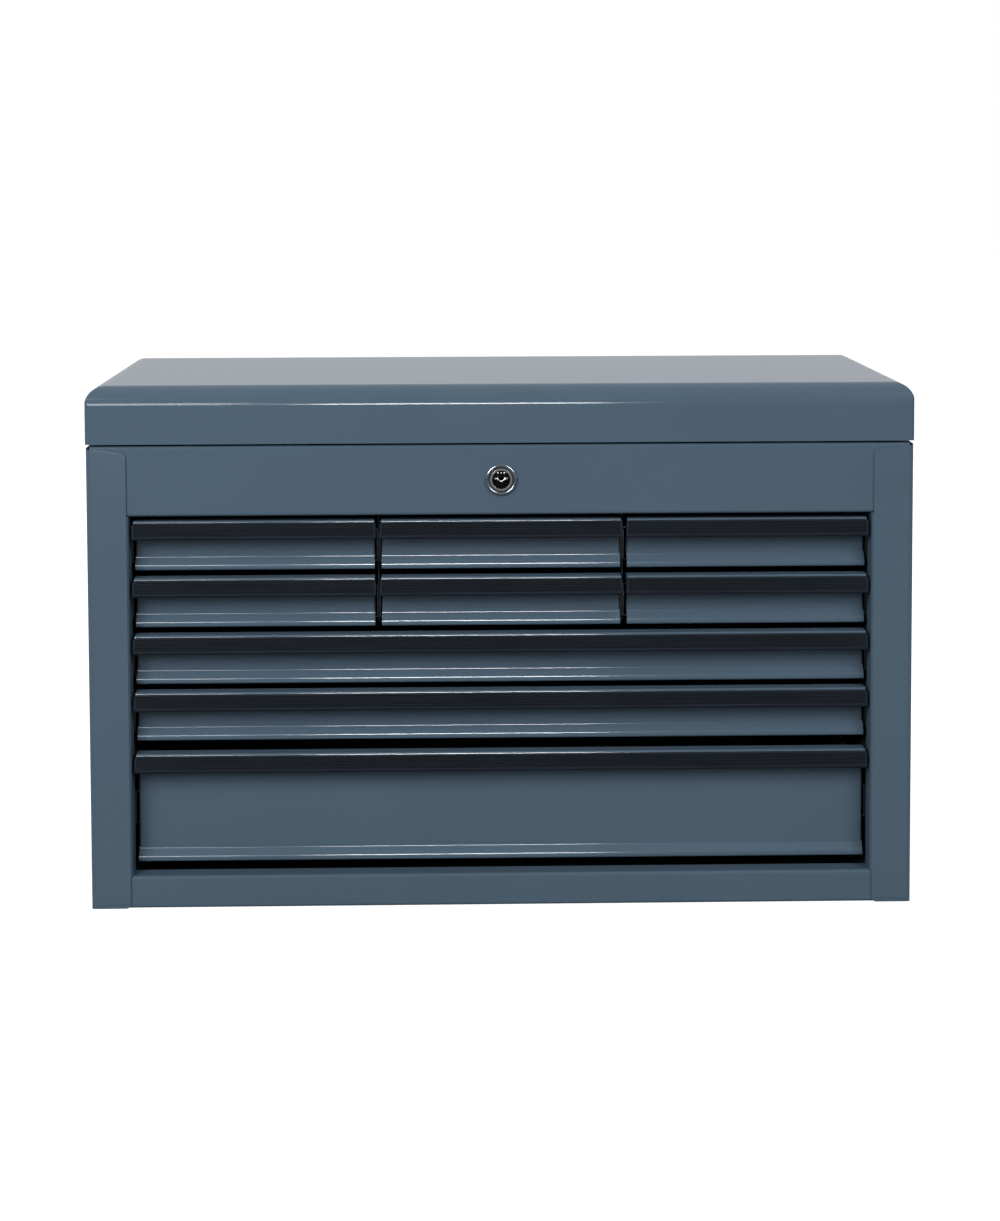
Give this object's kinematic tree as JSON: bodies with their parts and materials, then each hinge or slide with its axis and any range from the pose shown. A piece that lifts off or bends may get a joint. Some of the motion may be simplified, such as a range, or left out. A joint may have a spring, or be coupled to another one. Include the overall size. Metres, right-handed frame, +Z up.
{
  "type": "tool chest",
  "caption": "Bench-top steel tool chest: ball-bearing drawers with full-width ribbed pulls, and a hinged lid with a key lock over a top till",
  "frame": {"origin": "On the surface the chest stands on, under the middle of the cabinet, half way between its front and its rear flanges", "axes": "+X to the right of someone facing the drawers, +Y to the back, +Z up; the drawers pull out towards -Y"},
  "size_m": [0.686, 0.3226, 0.421],
  "materials": {
    "cabinet_paint": "semi-gloss powder coat",
    "zinc_steel": "bright zinc plate",
    "bumper_rubber": "soft black rubber",
    "chrome_plate": "polished chrome plate",
    "drawer_paint": "semi-gloss powder coat",
    "pull_plastic": "ribbed black moulding"
  },
  "bodies": {
    "cabinet": {"left_side_panel": "cabinet_paint", "right_side_panel": "cabinet_paint", "back_panel": "cabinet_paint", "bottom_pan": "cabinet_paint", "front_rail": "cabinet_paint", "till_floor": "cabinet_paint", "slide_mounts": "zinc_steel", "drawer_dividers": "cabinet_paint", "cabinet_slides": "zinc_steel", "hinge_cabinet_leaf": "zinc_steel", "hinge_pin": "zinc_steel", "lid_bumpers": "bumper_rubber", "lock_body": "chrome_plate", "lock_bezel": "chrome_plate", "lock_nut": "zinc_steel", "handle_plates": "chrome_plate"},
    "lid": {"lid": "cabinet_paint", "hinge_lid_leaf": "zinc_steel", "lid_strike": "zinc_steel", "lid_stops": "cabinet_paint"},
    "lock_turner": {"lock_plug": "chrome_plate", "lock_cam": "zinc_steel"},
    "left_bail": {"left_handle": "chrome_plate"},
    "right_bail": {"right_handle": "chrome_plate"},
    "drawer_1": {"drawer_1_front": "drawer_paint", "drawer_1_pull": "pull_plastic", "drawer_1_box": "drawer_paint"},
    "cages_1": {"drawer_1_ball_cages": "zinc_steel"},
    "drawer_2": {"drawer_2_front": "drawer_paint", "drawer_2_pull": "pull_plastic", "drawer_2_box": "drawer_paint"},
    "cages_2": {"drawer_2_ball_cages": "zinc_steel"},
    "drawer_3": {"drawer_3_front": "drawer_paint", "drawer_3_pull": "pull_plastic", "drawer_3_box": "drawer_paint"},
    "cages_3": {"drawer_3_ball_cages": "zinc_steel"},
    "drawer_4": {"drawer_4_front": "drawer_paint", "drawer_4_pull": "pull_plastic", "drawer_4_box": "drawer_paint"},
    "cages_4": {"drawer_4_ball_cages": "zinc_steel"},
    "drawer_5": {"drawer_5_front": "drawer_paint", "drawer_5_pull": "pull_plastic", "drawer_5_box": "drawer_paint"},
    "cages_5": {"drawer_5_ball_cages": "zinc_steel"},
    "drawer_6": {"drawer_6_front": "drawer_paint", "drawer_6_pull": "pull_plastic", "drawer_6_box": "drawer_paint"},
    "cages_6": {"drawer_6_ball_cages": "zinc_steel"},
    "drawer_7": {"drawer_7_front": "drawer_paint", "drawer_7_pull": "pull_plastic", "drawer_7_box": "drawer_paint"},
    "cages_7": {"drawer_7_ball_cages": "zinc_steel"},
    "drawer_8": {"drawer_8_front": "drawer_paint", "drawer_8_pull": "pull_plastic", "drawer_8_box": "drawer_paint"},
    "cages_8": {"drawer_8_ball_cages": "zinc_steel"},
    "drawer_9": {"drawer_9_front": "drawer_paint", "drawer_9_pull": "pull_plastic", "drawer_9_box": "drawer_paint"},
    "cages_9": {"drawer_9_ball_cages": "zinc_steel"}
  },
  "joints": [
    {"name": "lid_hinge", "type": "hinge", "parent": "cabinet", "child": "lid", "pos_m": [0, 0.1545, 0.37425], "axis": [-1, 0, 0], "range_deg": [0, 95]},
    {"name": "lock_turn", "type": "hinge", "parent": "cabinet", "child": "lock_turner", "pos_m": [0, -0.1525, 0.34535], "axis": [0, -1, 0], "range_deg": [0, 90]},
    {"name": "left_handle_swing", "type": "hinge", "parent": "cabinet", "child": "left_bail", "pos_m": [-0.337, 0, 0.285], "axis": [0, 1, 0], "range_deg": [0, 95]},
    {"name": "right_handle_swing", "type": "hinge", "parent": "cabinet", "child": "right_bail", "pos_m": [0.337, 0, 0.285], "axis": [0, -1, 0], "range_deg": [0, 95]},
    {"name": "drawer_1_slide", "type": "slide", "parent": "cabinet", "child": "drawer_1", "axis": [0, -1, 0], "range_m": [0, 0.1922]},
    {"name": "drawer_2_slide", "type": "slide", "parent": "cabinet", "child": "drawer_2", "axis": [0, -1, 0], "range_m": [0, 0.1922]},
    {"name": "drawer_3_slide", "type": "slide", "parent": "cabinet", "child": "drawer_3", "axis": [0, -1, 0], "range_m": [0, 0.1922]},
    {"name": "drawer_4_slide", "type": "slide", "parent": "cabinet", "child": "drawer_4", "axis": [0, -1, 0], "range_m": [0, 0.1922]},
    {"name": "drawer_5_slide", "type": "slide", "parent": "cabinet", "child": "drawer_5", "axis": [0, -1, 0], "range_m": [0, 0.1922]},
    {"name": "drawer_6_slide", "type": "slide", "parent": "cabinet", "child": "drawer_6", "axis": [0, -1, 0], "range_m": [0, 0.1922]},
    {"name": "drawer_7_slide", "type": "slide", "parent": "cabinet", "child": "drawer_7", "axis": [0, -1, 0], "range_m": [0, 0.1922]},
    {"name": "drawer_8_slide", "type": "slide", "parent": "cabinet", "child": "drawer_8", "axis": [0, -1, 0], "range_m": [0, 0.1922]},
    {"name": "drawer_9_slide", "type": "slide", "parent": "cabinet", "child": "drawer_9", "axis": [0, -1, 0], "range_m": [0, 0.1922]},
    {"name": "cages_1_slide", "type": "slide", "parent": "cabinet", "child": "cages_1", "axis": [0, -1, 0], "range_m": [0, 0.0961]},
    {"name": "cages_2_slide", "type": "slide", "parent": "cabinet", "child": "cages_2", "axis": [0, -1, 0], "range_m": [0, 0.0961]},
    {"name": "cages_3_slide", "type": "slide", "parent": "cabinet", "child": "cages_3", "axis": [0, -1, 0], "range_m": [0, 0.0961]},
    {"name": "cages_4_slide", "type": "slide", "parent": "cabinet", "child": "cages_4", "axis": [0, -1, 0], "range_m": [0, 0.0961]},
    {"name": "cages_5_slide", "type": "slide", "parent": "cabinet", "child": "cages_5", "axis": [0, -1, 0], "range_m": [0, 0.0961]},
    {"name": "cages_6_slide", "type": "slide", "parent": "cabinet", "child": "cages_6", "axis": [0, -1, 0], "range_m": [0, 0.0961]},
    {"name": "cages_7_slide", "type": "slide", "parent": "cabinet", "child": "cages_7", "axis": [0, -1, 0], "range_m": [0, 0.0961]},
    {"name": "cages_8_slide", "type": "slide", "parent": "cabinet", "child": "cages_8", "axis": [0, -1, 0], "range_m": [0, 0.0961]},
    {"name": "cages_9_slide", "type": "slide", "parent": "cabinet", "child": "cages_9", "axis": [0, -1, 0], "range_m": [0, 0.0961]}
  ],
  "couplings": [
    {"joint": "cages_1_slide", "follows": "drawer_1_slide", "ratio": 0.5},
    {"joint": "cages_2_slide", "follows": "drawer_2_slide", "ratio": 0.5},
    {"joint": "cages_3_slide", "follows": "drawer_3_slide", "ratio": 0.5},
    {"joint": "cages_4_slide", "follows": "drawer_4_slide", "ratio": 0.5},
    {"joint": "cages_5_slide", "follows": "drawer_5_slide", "ratio": 0.5},
    {"joint": "cages_6_slide", "follows": "drawer_6_slide", "ratio": 0.5},
    {"joint": "cages_7_slide", "follows": "drawer_7_slide", "ratio": 0.5},
    {"joint": "cages_8_slide", "follows": "drawer_8_slide", "ratio": 0.5},
    {"joint": "cages_9_slide", "follows": "drawer_9_slide", "ratio": 0.5}
  ]
}
